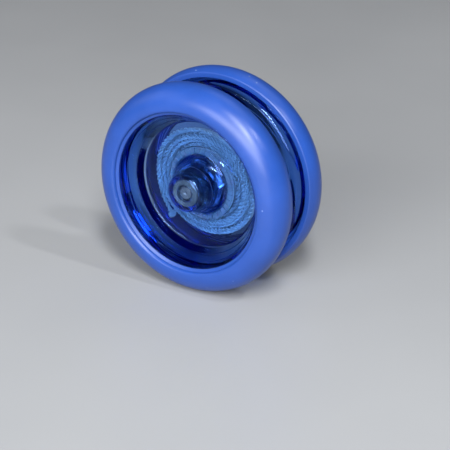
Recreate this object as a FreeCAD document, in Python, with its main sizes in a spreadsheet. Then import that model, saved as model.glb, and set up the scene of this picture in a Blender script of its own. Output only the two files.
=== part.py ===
import FreeCAD, Part
import math
import os
import Sketcher
from types import SimpleNamespace

# Ball-bearing yo-yo: two equal halves screwed on one threaded stud, a bearing between them and
# the string wound round the bearing. Millimetres. The origin is the middle of the axle, +Y runs
# along the axle from the front half to the rear half, and +Z is up.
#
# "height" below is always the distance from the middle plane of the string gap, measured
# outwards along the axle, and "radius" is the distance from the axle.

DIMENSIONS = {
    # rim ring
    "rim_radius": 27.5,
    "crown_round": 5.4,
    "crown_height": 7.2,
    "crown_land": 0.5,
    "rim_mouth_radius": 21.04,
    "rim_mouth_height": 11.67,
    "rim_mouth_round": 0.95,
    "rim_lip_height": 11.32,
    "rim_back_round": 0.5,
    # clear half
    "gap_half_width": 2.2,
    "gap_flat_radius": 15.0,
    "shoulder_radius": 22.3,
    "shoulder_height": 2.9,
    "shoulder_round": 2.2,
    "land_radius": 24.2,
    "land_height": 4.16,
    "flange_radius": 25.3,
    "flange_top": 5.6,
    "seat_radius": 23.6,
    "seat_height": 8.0,
    "sleeve_radius": 20.3,
    "sleeve_foot": 9.4,
    "sleeve_top": 11.3,
    "sleeve_lip_width": 0.25,
    "cup_step_radius": 19.1,
    "cup_step_height": 9.5,
    "cup_step": 0.15,
    "cup_ledge_radius": 17.85,
    "cup_ledge_height": 7.2,
    "cup_foot_radius": 16.9,
    "cup_foot_height": 5.25,
    "cup_foot_round": 0.75,
    "floor_height": 4.75,
    "floor_radius": 16.3,
    "collar_radius": 9.7,
    "collar_step": 0.2,
    "post_foot_radius": 8.5,
    "post_flare_round": 7.0,
    "post_waist_radius": 6.1,
    "post_waist_height": 8.3,
    "post_ledge": 0.25,
    "post_neck_radius": 4.95,
    "post_neck_height": 11.35,
    "post_tip_round": 0.9,
    "post_tip_radius": 4.15,
    "post_top": 12.2,
    "post_crown_round": 36.0,
    # recesses in the gap wall
    "recess_radius": 6.65,
    "recess_floor": 2.7,
    "pocket_floor": 4.2,
    "ring_inner_radius": 7.35,
    "ring_outer_radius": 9.65,
    "ring_depth": 1.05,
    "seat_gap": 0.02,
    # axle, inserts and spacers
    "axle_radius": 2.0,
    "axle_length": 22.0,
    "axle_chamfer": 0.3,
    "centre_mark_radius": 0.5,
    "centre_mark_depth": 0.4,
    "thread_gap": 0.05,
    "insert_radius": 3.6,
    "insert_bottom": 4.25,
    "insert_top": 11.5,
    "insert_groove": 0.3,
    "insert_groove_width": 0.8,
    "insert_chamfer": 0.25,
    "spacer_across_flats": 8.0,
    "spacer_top": 4.15,
    "spacer_bottom": 0.15,
    "spacer_fit": 0.03,
    # bearing
    "bearing_bore_radius": 3.175,
    "bearing_outer_radius": 6.35,
    "bearing_half_width": 2.38,
    "inner_race_radius": 4.15,
    "outer_race_radius": 5.38,
    "ball_radius": 1.0,
    "ball_fit": 0.06,
    "cage_inner_radius": 4.45,
    "cage_outer_radius": 5.1,
    "cage_half_width": 1.3,
    "shield_seat_radius": 5.78,
    "shield_seat_height": 1.45,
    "shield_inner_radius": 4.4,
    "shield_thickness": 0.2,
    "clip_width": 0.45,
    "clip_thickness": 0.3,
    # string
    "string_half_width": 1.85,
    "winding_long_radius": 15.7,
    "winding_short_radius": 13.2,
    "winding_edge_round": 0.5,
    "knot_radius": 1.5,
    "knot_place_radius": 16.35,
}
BALL_COUNT = 8
HEX_SIDES = 6
CLIP_OPENING_DEG = 24
WINDING_TILT_DEG = 153.7
KNOT_DIRECTION_DEG = 227.0
SIDES = {"front": 90, "rear": -90}

document = FreeCAD.newDocument("YoYo")


class Size:
    """A length together with the sheet expression that drives it."""

    def __init__(self, value, text):
        self.value = value
        self.text = text

    def __add__(self, other):
        other = as_size(other)
        return Size(self.value + other.value, f"({self.text} + {other.text})")

    def __sub__(self, other):
        other = as_size(other)
        return Size(self.value - other.value, f"({self.text} - {other.text})")

    def __mul__(self, other):
        other = as_size(other)
        return Size(self.value * other.value, f"{self.text} * {other.text}")


def as_size(value):
    return value if isinstance(value, Size) else Size(value, str(value))


def chord_reach(radius, offset):
    """Half the chord of a circle at the given offset from its centre."""
    text = f"sqrt(({radius.text})^2 - ({offset.text})^2)"
    return Size(math.sqrt(radius.value ** 2 - offset.value ** 2), text)


def make_sheet():
    sheet = document.addObject("Spreadsheet::Sheet", "Dimensions")
    for row, (name, value) in enumerate(DIMENSIONS.items(), start=1):
        sheet.set(f"A{row}", name.replace("_", " "))
        sheet.set(f"B{row}", str(value))
        sheet.setAlias(f"B{row}", name)
    return SimpleNamespace(**{name: Size(value, f"Dimensions.{name}") for name, value in DIMENSIONS.items()})


D = make_sheet()
CROWN_RADIUS = D.rim_radius - D.crown_round
CROWN_TOP = D.crown_height + D.crown_round
AXLE_HOLE = D.axle_radius + D.thread_gap
AXLE_END = D.axle_length * 0.5
BALL_PITCH_RADIUS = (D.bearing_bore_radius + D.bearing_outer_radius) * 0.5
BALL_TRACK = D.ball_radius + D.ball_fit


def bind(item, **sizes):
    """Drive an object's properties from the sheet."""
    for name, size in sizes.items():
        item.setExpression(name, as_size(size).text)


def add(kind, label, **sizes):
    item = document.addObject(kind, label)
    bind(item, **sizes)
    return item


def combine(kind, label, base, tool):
    item = document.addObject(kind, label)
    item.Base = base
    item.Tool = tool
    return item


def stand_along_axle(item, degrees):
    """Turn a piece made along +Z so that its outer end points along the axle."""
    item.Placement = FreeCAD.Placement(FreeCAD.Vector(), FreeCAD.Rotation(FreeCAD.Vector(1, 0, 0), degrees))


def make_body(label):
    return document.addObject("PartDesign::Body", label)


def origin_plane(body, role):
    return next(plane for plane in body.Origin.OriginFeatures if plane.Role == role)


def new_sketch(body, name, role):
    sketch = body.newObject("Sketcher::SketchObject", name)
    sketch.AttachmentSupport = [(origin_plane(body, role), "")]
    sketch.MapMode = "FlatFace"
    return sketch


def drive(sketch, constraint, size):
    index = sketch.addConstraint(constraint)
    sketch.setExpression(f"Constraints[{index}]", as_size(size).text)


def pin_point(sketch, edge, end, across, up):
    """Hold one end of an edge at (across, up) from the sketch's origin."""
    drive(sketch, Sketcher.Constraint("DistanceX", -1, 1, edge, end, across.value), across)
    drive(sketch, Sketcher.Constraint("DistanceY", -1, 1, edge, end, up.value), up)


def arc_between(start, end, radius):
    """The short arc of a signed radius; a positive one bulges to the right of start to end."""
    chord = end - start
    middle = (start + end) * 0.5
    normal = FreeCAD.Vector(-chord.y, chord.x, 0).normalize()
    reach = math.sqrt(radius ** 2 - (chord.Length / 2) ** 2)
    bulge = math.copysign(1, radius)
    centre = middle + normal * reach * bulge
    top = middle - normal * (abs(radius) - reach) * bulge
    circle = Part.Circle(centre, FreeCAD.Vector(0, 0, 1), abs(radius))
    angles = sorted((circle.parameter(start), circle.parameter(end)))
    arc = Part.ArcOfCircle(circle, *angles)
    if (arc.value((angles[0] + angles[1]) / 2) - top).Length > 1e-6:
        arc = Part.ArcOfCircle(circle, angles[1], angles[0] + 2 * math.pi)
    starts_first = (arc.StartPoint - start).Length < (arc.EndPoint - start).Length
    return arc, 1 if starts_first else 2


def outline(body, name, corners):
    """Closed outline of (radius, height) corners on the body's XZ plane.

    A third value in a corner makes the edge that leads on from it an arc of that signed radius.
    """
    sketch = new_sketch(body, name, "XZ_Plane")
    points = [FreeCAD.Vector(corner[0].value, corner[1].value, 0) for corner in corners]
    ends = []
    for index, corner in enumerate(corners):
        start = points[index]
        end = points[(index + 1) % len(points)]
        if len(corner) == 3:
            sign, size = corner[2]
            arc, first = arc_between(start, end, sign * size.value)
            edge = sketch.addGeometry(arc, False)
            drive(sketch, Sketcher.Constraint("Radius", edge, size.value), size)
        else:
            edge = sketch.addGeometry(Part.LineSegment(start, end), False)
            first = 1
        ends.append((edge, first, 3 - first))
    for index, corner in enumerate(corners):
        edge, first, _ = ends[index]
        before, _, last = ends[index - 1]
        sketch.addConstraint(Sketcher.Constraint("Coincident", before, last, edge, first))
        pin_point(sketch, edge, first, corner[0], corner[1])
    return sketch


def revolve(body, name, corners, degrees=360):
    turned = body.newObject("PartDesign::Revolution", name)
    turned.Profile = outline(body, name + "_outline", corners)
    turned.ReferenceAxis = (turned.Profile[0], ["V_Axis"])
    turned.Angle = degrees
    return turned


def turned_piece(label, corners, lean, degrees=360):
    body = make_body(label)
    revolve(body, label + "_turned", corners, degrees)
    stand_along_axle(body, lean)
    return body


def hexagon_sketch(body, name, across_flats, height):
    """Regular hexagon square to the axle, at a height above the middle plane."""
    sketch = new_sketch(body, name, "XY_Plane")
    sketch.setExpression(".AttachmentOffset.Base.z", height.text)
    circumradius = across_flats * (1 / math.sqrt(3))
    points = []
    for corner in range(HEX_SIDES):
        angle = 2 * math.pi * corner / HEX_SIDES
        points.append(FreeCAD.Vector(math.cos(angle), math.sin(angle), 0) * circumradius.value)
    for index, start in enumerate(points):
        sketch.addGeometry(Part.LineSegment(start, points[(index + 1) % HEX_SIDES]), False)
    guide = sketch.addGeometry(Part.Circle(FreeCAD.Vector(), FreeCAD.Vector(0, 0, 1), circumradius.value), True)
    sketch.addConstraint(Sketcher.Constraint("Coincident", guide, 3, -1, 1))
    for index in range(HEX_SIDES):
        sketch.addConstraint(Sketcher.Constraint("Coincident", index, 2, (index + 1) % HEX_SIDES, 1))
        sketch.addConstraint(Sketcher.Constraint("PointOnObject", index, 1, guide))
    for index in range(1, HEX_SIDES):
        sketch.addConstraint(Sketcher.Constraint("Equal", 0, index))
    sketch.addConstraint(Sketcher.Constraint("PointOnObject", 0, 1, -1))
    drive(sketch, Sketcher.Constraint("Radius", guide, circumradius.value), circumradius)
    return sketch


def cut_pocket(body, sketch, depth):
    """Pocket on the side that the sketch faces, which must take material away."""
    document.recompute()
    before = body.Shape.Volume
    pocket = body.newObject("PartDesign::Pocket", sketch.Name + "_pocket")
    pocket.Profile = sketch
    pocket.Reversed = True
    pocket.setExpression("Length", depth.text)
    document.recompute()
    if body.Shape.Volume >= before:
        raise RuntimeError(f"{pocket.Name} removed nothing")
    return pocket


def half_outline():
    """Section of the clear moulding, out along the gap wall and back over the closed post."""
    centre = D.insert_radius * 0
    bore = D.insert_radius + D.seat_gap
    bore_end = D.insert_top + D.seat_gap
    crown_top = D.post_top + D.post_crown_round - chord_reach(D.post_crown_round, D.post_tip_radius)
    groove_floor = D.gap_half_width + D.ring_depth
    foot = D.floor_height + D.collar_step
    return [
        (bore, D.recess_floor),
        (D.recess_radius, D.recess_floor),
        (D.recess_radius, D.gap_half_width),
        (D.ring_inner_radius, D.gap_half_width),
        (D.ring_inner_radius, groove_floor),
        (D.ring_outer_radius, groove_floor),
        (D.ring_outer_radius, D.gap_half_width),
        (D.gap_flat_radius, D.gap_half_width),
        (D.shoulder_radius, D.shoulder_height, (1, D.shoulder_round)),
        (D.land_radius, D.land_height),
        (D.flange_radius, D.land_height),
        (D.flange_radius, D.flange_top),
        (D.seat_radius, D.seat_height),
        (D.seat_radius, D.sleeve_foot),
        (D.sleeve_radius, D.sleeve_foot),
        (D.sleeve_radius, D.sleeve_top),
        (D.sleeve_radius - D.sleeve_lip_width, D.sleeve_top),
        (D.cup_step_radius, D.cup_step_height),
        (D.cup_step_radius - D.cup_step, D.cup_step_height),
        (D.cup_ledge_radius, D.cup_ledge_height),
        (D.cup_ledge_radius - D.cup_step, D.cup_ledge_height),
        (D.cup_foot_radius, D.cup_foot_height, (-1, D.cup_foot_round)),
        (D.floor_radius, D.floor_height),
        (D.collar_radius, D.floor_height),
        (D.collar_radius - D.collar_step, foot),
        (D.post_foot_radius, foot, (-1, D.post_flare_round)),
        (D.post_waist_radius, D.post_waist_height),
        (D.post_waist_radius - D.post_ledge, D.post_waist_height),
        (D.post_neck_radius, D.post_neck_height, (1, D.post_tip_round)),
        (D.post_tip_radius, D.post_top, (1, D.post_crown_round)),
        (centre, crown_top),
        (centre, bore_end),
        (bore, bore_end),
    ]


def make_half_body(side, lean):
    label = side + "_body"
    body = turned_piece(label, half_outline(), lean)
    pocket_depth = D.pocket_floor - D.recess_floor
    flats = D.spacer_across_flats + D.seat_gap * 4
    sketch = hexagon_sketch(body, label + "_hexagon", flats, D.recess_floor)
    cut_pocket(body, sketch, pocket_depth)
    return body


def make_rim(side, lean):
    """Rounded ring that wraps the half, from its lip round the crown to the gap."""
    back_edge = D.land_height + D.rim_back_round * 0.8
    back_radius = CROWN_RADIUS + chord_reach(D.crown_round, D.crown_height - back_edge)
    sleeve = D.sleeve_radius + D.seat_gap
    foot = D.sleeve_foot + D.seat_gap
    seat = D.seat_radius + D.seat_gap
    flange = D.flange_radius + D.seat_gap
    corners = [
        (sleeve, foot),
        (seat, foot),
        (seat, D.seat_height + D.seat_gap),
        (flange, D.flange_top + D.seat_gap),
        (flange, D.land_height),
        (back_radius - D.rim_back_round, D.land_height, (1, D.rim_back_round)),
        (back_radius, back_edge, (1, D.crown_round)),
        (D.rim_radius, D.crown_height, (1, D.crown_round)),
        (CROWN_RADIUS, CROWN_TOP),
        (CROWN_RADIUS - D.crown_land, CROWN_TOP, (1, D.rim_mouth_round)),
        (D.rim_mouth_radius, D.rim_mouth_height),
        (sleeve, D.rim_lip_height),
    ]
    return turned_piece(side + "_rim", corners, lean)


def make_response_ring(side, lean):
    inner = D.ring_inner_radius + D.seat_gap
    outer = D.ring_outer_radius - D.seat_gap
    back = D.gap_half_width + D.ring_depth - D.seat_gap
    corners = [(inner, D.gap_half_width), (outer, D.gap_half_width), (outer, back), (inner, back)]
    return turned_piece(side + "_response_ring", corners, lean)


def make_insert(side, lean):
    """Threaded sleeve with two grooves that the moulding grips."""
    root = D.insert_radius - D.insert_groove
    edge = D.insert_radius - D.insert_chamfer
    corners = [
        (AXLE_HOLE, D.insert_bottom),
        (edge, D.insert_bottom),
        (D.insert_radius, D.insert_bottom + D.insert_chamfer),
    ]
    for share in (0.28, 0.66):
        low = D.insert_bottom + (D.insert_top - D.insert_bottom) * share
        high = low + D.insert_groove_width
        corners += [(D.insert_radius, low), (root, low), (root, high), (D.insert_radius, high)]
    corners += [
        (D.insert_radius, D.insert_top - D.insert_chamfer),
        (edge, D.insert_top),
        (AXLE_HOLE, D.insert_top),
    ]
    return turned_piece(side + "_insert", corners, lean)


def make_spacer(side, lean):
    """Bush in the bearing's bore with a hexagonal head keyed in the half."""
    bush = add("Part::Cylinder", side + "_spacer_bush",
               Radius=D.bearing_bore_radius - D.spacer_fit, Height=D.spacer_top - D.spacer_bottom)
    bush.setExpression("Placement.Base.z", D.spacer_bottom.text)
    shoulder = D.bearing_half_width + D.seat_gap
    head = add("Part::Prism", side + "_spacer_head",
               Circumradius=D.spacer_across_flats * (1 / math.sqrt(3)), Height=D.spacer_top - shoulder)
    head.Polygon = HEX_SIDES
    head.setExpression("Placement.Base.z", shoulder.text)
    blank = combine("Part::Fuse", side + "_spacer_blank", bush, head)
    bore = add("Part::Cylinder", side + "_spacer_bore", Radius=AXLE_HOLE, Height=D.spacer_top * 2)
    spacer = combine("Part::Cut", side + "_spacer", blank, bore)
    stand_along_axle(spacer, lean)
    return spacer


def make_axle():
    """Threaded stud with a turning centre's mark in each end."""
    neck = D.axle_radius - D.axle_chamfer
    centre = D.axle_radius * 0
    bottom = centre - AXLE_END
    corners = [
        (centre, bottom + D.centre_mark_depth),
        (D.centre_mark_radius, bottom),
        (neck, bottom),
        (D.axle_radius, bottom + D.axle_chamfer),
        (D.axle_radius, AXLE_END - D.axle_chamfer),
        (neck, AXLE_END),
        (D.centre_mark_radius, AXLE_END),
        (centre, AXLE_END - D.centre_mark_depth),
    ]
    return turned_piece("axle", corners, SIDES["front"])


def make_inner_race():
    half = D.bearing_half_width
    below = D.ball_radius * 0 - half
    track = chord_reach(BALL_TRACK, BALL_PITCH_RADIUS - D.inner_race_radius)
    corners = [
        (D.bearing_bore_radius, below),
        (D.inner_race_radius, below),
        (D.inner_race_radius, track * -1, (-1, BALL_TRACK)),
        (D.inner_race_radius, track),
        (D.inner_race_radius, half),
        (D.bearing_bore_radius, half),
    ]
    return turned_piece("bearing_inner_race", corners, SIDES["front"])


def make_outer_race():
    """Outer ring with a ball track inside and a seat for a shield at each end."""
    half = D.bearing_half_width
    track = chord_reach(BALL_TRACK, D.outer_race_radius - BALL_PITCH_RADIUS)
    corners = [
        (D.shield_seat_radius, half * -1),
        (D.bearing_outer_radius, half * -1),
        (D.bearing_outer_radius, half),
        (D.shield_seat_radius, half),
        (D.shield_seat_radius, D.shield_seat_height),
        (D.outer_race_radius, D.shield_seat_height),
        (D.outer_race_radius, track, (-1, BALL_TRACK)),
        (D.outer_race_radius, track * -1),
        (D.outer_race_radius, D.shield_seat_height * -1),
        (D.shield_seat_radius, D.shield_seat_height * -1),
    ]
    return turned_piece("bearing_outer_race", corners, SIDES["front"])


def make_cage():
    """Ring with one round window for each ball."""
    low = D.cage_half_width * -1
    corners = [
        (D.cage_inner_radius, low),
        (D.cage_outer_radius, low),
        (D.cage_outer_radius, D.cage_half_width),
        (D.cage_inner_radius, D.cage_half_width),
    ]
    cage = turned_piece("bearing_cage", corners, SIDES["front"])
    sketch = new_sketch(cage, "cage_window", "YZ_Plane")
    circle = Part.Circle(FreeCAD.Vector(), FreeCAD.Vector(0, 0, 1), BALL_TRACK.value)
    window = sketch.addGeometry(circle, False)
    sketch.addConstraint(Sketcher.Constraint("Coincident", window, 3, -1, 1))
    drive(sketch, Sketcher.Constraint("Radius", window, BALL_TRACK.value), BALL_TRACK)
    pocket = cut_pocket(cage, sketch, D.bearing_outer_radius)
    one_window = cage.Shape.Volume
    pattern = cage.newObject("PartDesign::PolarPattern", "cage_windows")
    pattern.Originals = [pocket]
    pattern.Axis = (origin_plane(cage, "Z_Axis"), [""])
    pattern.Angle = 360
    pattern.Occurrences = BALL_COUNT
    cage.Tip = pattern
    document.recompute()
    if cage.Shape.Volume >= one_window:
        raise RuntimeError("the cage has one window only")
    return cage


def make_balls():
    balls = []
    for number in range(BALL_COUNT):
        turn = f"{360 * number / BALL_COUNT} deg"
        ball = add("Part::Sphere", f"bearing_ball_{number + 1}", Radius=D.ball_radius)
        ball.setExpression("Placement.Base.x", f"{BALL_PITCH_RADIUS.text} * cos({turn})")
        ball.setExpression("Placement.Base.z", f"{BALL_PITCH_RADIUS.text} * sin({turn})")
        balls.append(ball)
    return balls


def make_shield(side, lean):
    outer = D.shield_seat_radius - D.seat_gap
    low = D.shield_seat_height + D.seat_gap
    high = low + D.shield_thickness
    corners = [(D.shield_inner_radius, low), (outer, low), (outer, high), (D.shield_inner_radius, high)]
    return turned_piece(side + "_shield", corners, lean)


def make_clip(side, lean):
    """Open spring ring that holds the shield against its seat."""
    outer = D.shield_seat_radius - D.seat_gap
    inner = outer - D.clip_width
    low = D.shield_seat_height + D.seat_gap * 2 + D.shield_thickness
    high = low + D.clip_thickness
    corners = [(inner, low), (outer, low), (outer, high), (inner, high)]
    return turned_piece(side + "_shield_clip", corners, lean, 360 - CLIP_OPENING_DEG)


def make_winding():
    """The wound string's outer shape: an uneven coil, so an oval with rounded edges."""
    oval = add("Part::Ellipse", "winding_oval",
               MajorRadius=D.winding_long_radius, MinorRadius=D.winding_short_radius)
    oval.Placement = FreeCAD.Placement(
        FreeCAD.Vector(), FreeCAD.Rotation(FreeCAD.Vector(0, 0, 1), WINDING_TILT_DEG))
    block = add("Part::Extrusion", "winding_block", LengthFwd=D.string_half_width * 2)
    block.Base = oval
    block.DirMode = "Custom"
    block.Dir = FreeCAD.Vector(0, 0, 1)
    block.Symmetric = True
    block.Solid = True
    document.recompute()
    rounded = document.addObject("Part::Fillet", "winding_rounded")
    rounded.Base = block
    rim_edges = [number for number, edge in enumerate(block.Shape.Edges, start=1)
                 if edge.isClosed() and not edge.isSeam(block.Shape.Faces[0])]
    rounded.Edges = [(number, D.winding_edge_round.value, D.winding_edge_round.value) for number in rim_edges]
    bore = add("Part::Cylinder", "winding_bore",
               Radius=D.bearing_outer_radius + D.seat_gap, Height=D.string_half_width * 4)
    bore.setExpression("Placement.Base.z", (D.string_half_width * -2).text)
    winding = combine("Part::Cut", "string_winding", rounded, bore)
    stand_along_axle(winding, SIDES["front"])
    return winding


def make_knot():
    knot = add("Part::Sphere", "string_knot", Radius=D.knot_radius)
    turn = f"{KNOT_DIRECTION_DEG} deg"
    knot.setExpression("Placement.Base.x", f"{D.knot_place_radius.text} * cos({turn})")
    knot.setExpression("Placement.Base.z", f"{D.knot_place_radius.text} * sin({turn})")
    return knot


def make_pieces():
    pieces = []
    for side, lean in SIDES.items():
        for make in (make_half_body, make_rim, make_response_ring, make_insert, make_spacer,
                     make_shield, make_clip):
            pieces.append(make(side, lean))
    pieces += [make_axle(), make_inner_race(), make_outer_race(), make_cage()]
    pieces += make_balls()
    pieces += [make_winding(), make_knot()]
    return pieces


def check_and_write(pieces):
    document.recompute()
    for item in document.Objects:
        if {"Invalid", "Error"} & set(item.State):
            raise RuntimeError(f"{item.Label} did not build: {item.State}")
    for piece in pieces:
        shape = piece.Shape
        if shape.isNull() or not shape.isValid() or len(shape.Solids) != 1:
            raise RuntimeError(f"{piece.Label} is not one sound solid")
    os.makedirs("parts", exist_ok=True)
    for piece in pieces:
        piece.Shape.exportStep(f"parts/{piece.Label}.step")
        print(f"{piece.Label}: {piece.Shape.Volume:.1f} mm3")


check_and_write(make_pieces())
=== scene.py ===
"""Ball-bearing yo-yo: finished pieces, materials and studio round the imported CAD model.

Everything is in metres in the CAD model's own frame. The axle runs along Y, the front half lies on
the -Y side and Z is up. In an outline, "height" is the distance from the middle of the string gap,
measured outwards along the axle, and "radius" is the distance from the axle.
"""

import math

import bpy
from bpy.props import FloatProperty, FloatVectorProperty, IntProperty, PointerProperty
from bpy.types import Operator, Panel, PropertyGroup
from mathutils import Matrix, Vector, noise


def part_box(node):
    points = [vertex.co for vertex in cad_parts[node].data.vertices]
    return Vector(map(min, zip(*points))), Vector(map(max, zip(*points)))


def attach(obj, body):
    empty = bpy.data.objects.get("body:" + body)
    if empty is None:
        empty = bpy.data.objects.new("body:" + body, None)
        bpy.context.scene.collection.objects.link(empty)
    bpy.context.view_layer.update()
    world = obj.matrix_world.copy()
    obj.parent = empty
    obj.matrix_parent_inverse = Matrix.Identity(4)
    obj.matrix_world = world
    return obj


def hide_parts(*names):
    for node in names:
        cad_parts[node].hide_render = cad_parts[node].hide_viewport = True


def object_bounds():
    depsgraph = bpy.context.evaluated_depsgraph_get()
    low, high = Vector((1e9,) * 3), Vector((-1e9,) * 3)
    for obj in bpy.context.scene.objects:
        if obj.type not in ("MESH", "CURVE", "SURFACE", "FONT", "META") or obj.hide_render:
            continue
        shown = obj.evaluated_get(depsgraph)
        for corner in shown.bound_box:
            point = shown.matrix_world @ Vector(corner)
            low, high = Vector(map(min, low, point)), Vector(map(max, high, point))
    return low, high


bl_info = {
    "name": "Ball-bearing yo-yo",
    "version": (1, 0, 0),
    "blender": (4, 5, 0),
    "location": "3D View > Sidebar > Yo-yo",
    "description": "Builds the finished pieces of a ball-bearing yo-yo on its CAD frame",
    "category": "Object",
}

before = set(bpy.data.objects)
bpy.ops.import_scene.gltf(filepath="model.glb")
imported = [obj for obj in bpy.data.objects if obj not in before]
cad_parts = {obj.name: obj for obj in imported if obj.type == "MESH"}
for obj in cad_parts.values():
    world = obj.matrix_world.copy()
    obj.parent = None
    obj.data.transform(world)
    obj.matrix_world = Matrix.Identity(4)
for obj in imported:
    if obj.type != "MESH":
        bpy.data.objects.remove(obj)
CAD_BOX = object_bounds()

WELD = 1e-7
CORNER_STEPS = 4
BIG_TURN = 192
SMALL_TURN = 96
HEX_SIDES = 6


def extent(node):
    """Radius, nearest height and furthest height of a CAD node of the front half."""
    low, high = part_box(node)
    return high.x, -high.y, -low.y


FLANGE_RADIUS, WALL_HEIGHT, POST_TOP = extent("front_body")
RIM_RADIUS, LAND_HEIGHT, CROWN_TOP = extent("front_rim")
RING_OUTER, RING_FRONT, RING_BACK = extent("front_response_ring")
INSERT_RADIUS, INSERT_BOTTOM, INSERT_TOP = extent("front_insert")
SPACER_CORNER, SPACER_BOTTOM, SPACER_TOP = extent("front_spacer")
AXLE_RADIUS, _, AXLE_END = extent("axle")
BEARING_RADIUS, _, BEARING_HALF_WIDTH = extent("bearing_outer_race")
WINDING_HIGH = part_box("string_winding")[1]
KNOT_LOW, KNOT_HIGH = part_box("string_knot")
SEAT_GAP = 0.00002
FLANGE_TOP = 0.0056
SEAT_BOTTOM = 0.0080
SEAT_TOP = 0.0094
EDGE_ROUND = 0.00006
BORE_GAP = 0.00005


# ---------------------------------------------------------------- sizes and colours


class ClearHalfSizes(PropertyGroup):
    shoulder_radius: FloatProperty(
        name="Shoulder radius", description="Outer end of the string gap's flared wall",
        default=0.0223, min=0.015, unit="LENGTH", precision=5)
    shoulder_height: FloatProperty(
        name="Shoulder height", description="Distance of the flared wall's end from the middle of the gap",
        default=0.0029, min=0.002, unit="LENGTH", precision=5)
    shoulder_round: FloatProperty(
        name="Shoulder round", description="Radius of the round over which the gap wall becomes the land",
        default=0.0022, min=0.0005, unit="LENGTH", precision=5)
    seat_radius: FloatProperty(
        name="Rim seat radius", description="Where the rim ring sits round the moulding",
        default=0.0236, min=0.02, unit="LENGTH", precision=5)
    sleeve_radius: FloatProperty(
        name="Sleeve radius", description="Outside of the thin sleeve that lines the rim's mouth",
        default=0.0203, min=0.015, unit="LENGTH", precision=5)
    sleeve_top: FloatProperty(
        name="Sleeve top", description="Height of the sleeve's lip",
        default=0.0113, min=0.005, unit="LENGTH", precision=5)
    cup_step_radius: FloatProperty(
        name="Cup step radius", description="Upper fine step in the cup's wall",
        default=0.0191, min=0.01, unit="LENGTH", precision=5)
    cup_step_height: FloatProperty(
        name="Cup step height", description="Height of the upper fine step",
        default=0.0095, min=0.005, unit="LENGTH", precision=5)
    cup_ledge_radius: FloatProperty(
        name="Cup ledge radius", description="Lower fine step in the cup's wall",
        default=0.01785, min=0.01, unit="LENGTH", precision=5)
    cup_ledge_height: FloatProperty(
        name="Cup ledge height", description="Height of the lower fine step",
        default=0.0072, min=0.005, unit="LENGTH", precision=5)
    floor_radius: FloatProperty(
        name="Floor radius", description="Edge of the cup's flat floor",
        default=0.0163, min=0.01, unit="LENGTH", precision=5)
    floor_height: FloatProperty(
        name="Floor height", description="Height of the cup's flat floor",
        default=0.00475, min=0.003, unit="LENGTH", precision=5)
    collar_radius: FloatProperty(
        name="Collar radius", description="Edge of the raised collar round the post",
        default=0.0097, min=0.007, unit="LENGTH", precision=5)
    post_foot_radius: FloatProperty(
        name="Post foot radius", description="Where the hub post's flared foot meets the collar",
        default=0.0085, min=0.006, unit="LENGTH", precision=5)
    post_waist_radius: FloatProperty(
        name="Post waist radius", description="Top of the post's flared foot",
        default=0.0061, min=0.005, unit="LENGTH", precision=5)
    post_waist_height: FloatProperty(
        name="Post waist height", description="Height of the ledge above the flared foot",
        default=0.0083, min=0.006, unit="LENGTH", precision=5)
    post_neck_radius: FloatProperty(
        name="Post neck radius", description="Radius of the post below its rounded tip",
        default=0.00495, min=0.004, unit="LENGTH", precision=5)


class RimSizes(PropertyGroup):
    crown_round: FloatProperty(
        name="Crown round", description="Radius of the rim's rounded crown",
        default=0.0054, min=0.002, unit="LENGTH", precision=5)
    mouth_radius: FloatProperty(
        name="Mouth radius", description="Radius of the rim's inner edge in front",
        default=0.02104, min=0.015, unit="LENGTH", precision=5)
    mouth_height: FloatProperty(
        name="Mouth height", description="Height at which the rim turns inwards to its lip",
        default=0.01167, min=0.01, unit="LENGTH", precision=5)
    colour: FloatVectorProperty(
        name="Rim colour", description="Colour of the matte rim plastic",
        default=(0.014, 0.060, 0.300), min=0, max=1, size=3, subtype="COLOR")


class MetalSizes(PropertyGroup):
    knurl_teeth: IntProperty(
        name="Knurl teeth", description="Diamonds round each knurled band of the insert",
        default=48, min=12, max=120)
    knurl_depth: FloatProperty(
        name="Knurl depth", description="How far the diamonds stand out of the band",
        default=0.00022, min=0.00005, unit="LENGTH", precision=5)
    thread_pitch: FloatProperty(
        name="Thread pitch", description="Advance of the axle's thread in one turn",
        default=0.0007, min=0.0003, unit="LENGTH", precision=5)
    thread_depth: FloatProperty(
        name="Thread depth", description="Height of the axle's thread ridge",
        default=0.0003, min=0.0001, unit="LENGTH", precision=5)


class StringSizes(PropertyGroup):
    diameter: FloatProperty(
        name="String diameter", description="Diameter of the twisted string",
        default=0.00124, min=0.0005, unit="LENGTH", precision=5)
    turns: IntProperty(
        name="Turns", description="Turns of string wound round the bearing",
        default=18, min=5, max=40)
    layer_turns: FloatProperty(
        name="Turns in a layer", description="Turns laid side by side before the winding climbs a layer",
        default=3.0, min=2.0, max=8.0)
    lay_pitch: FloatProperty(
        name="Lay pitch", description="Length in which the plies turn once round the string",
        default=0.0026, min=0.001, unit="LENGTH", precision=5)
    wander: FloatProperty(
        name="Wander", description="How unevenly the turns lie",
        default=0.00018, min=0, unit="LENGTH", precision=5)


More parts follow.
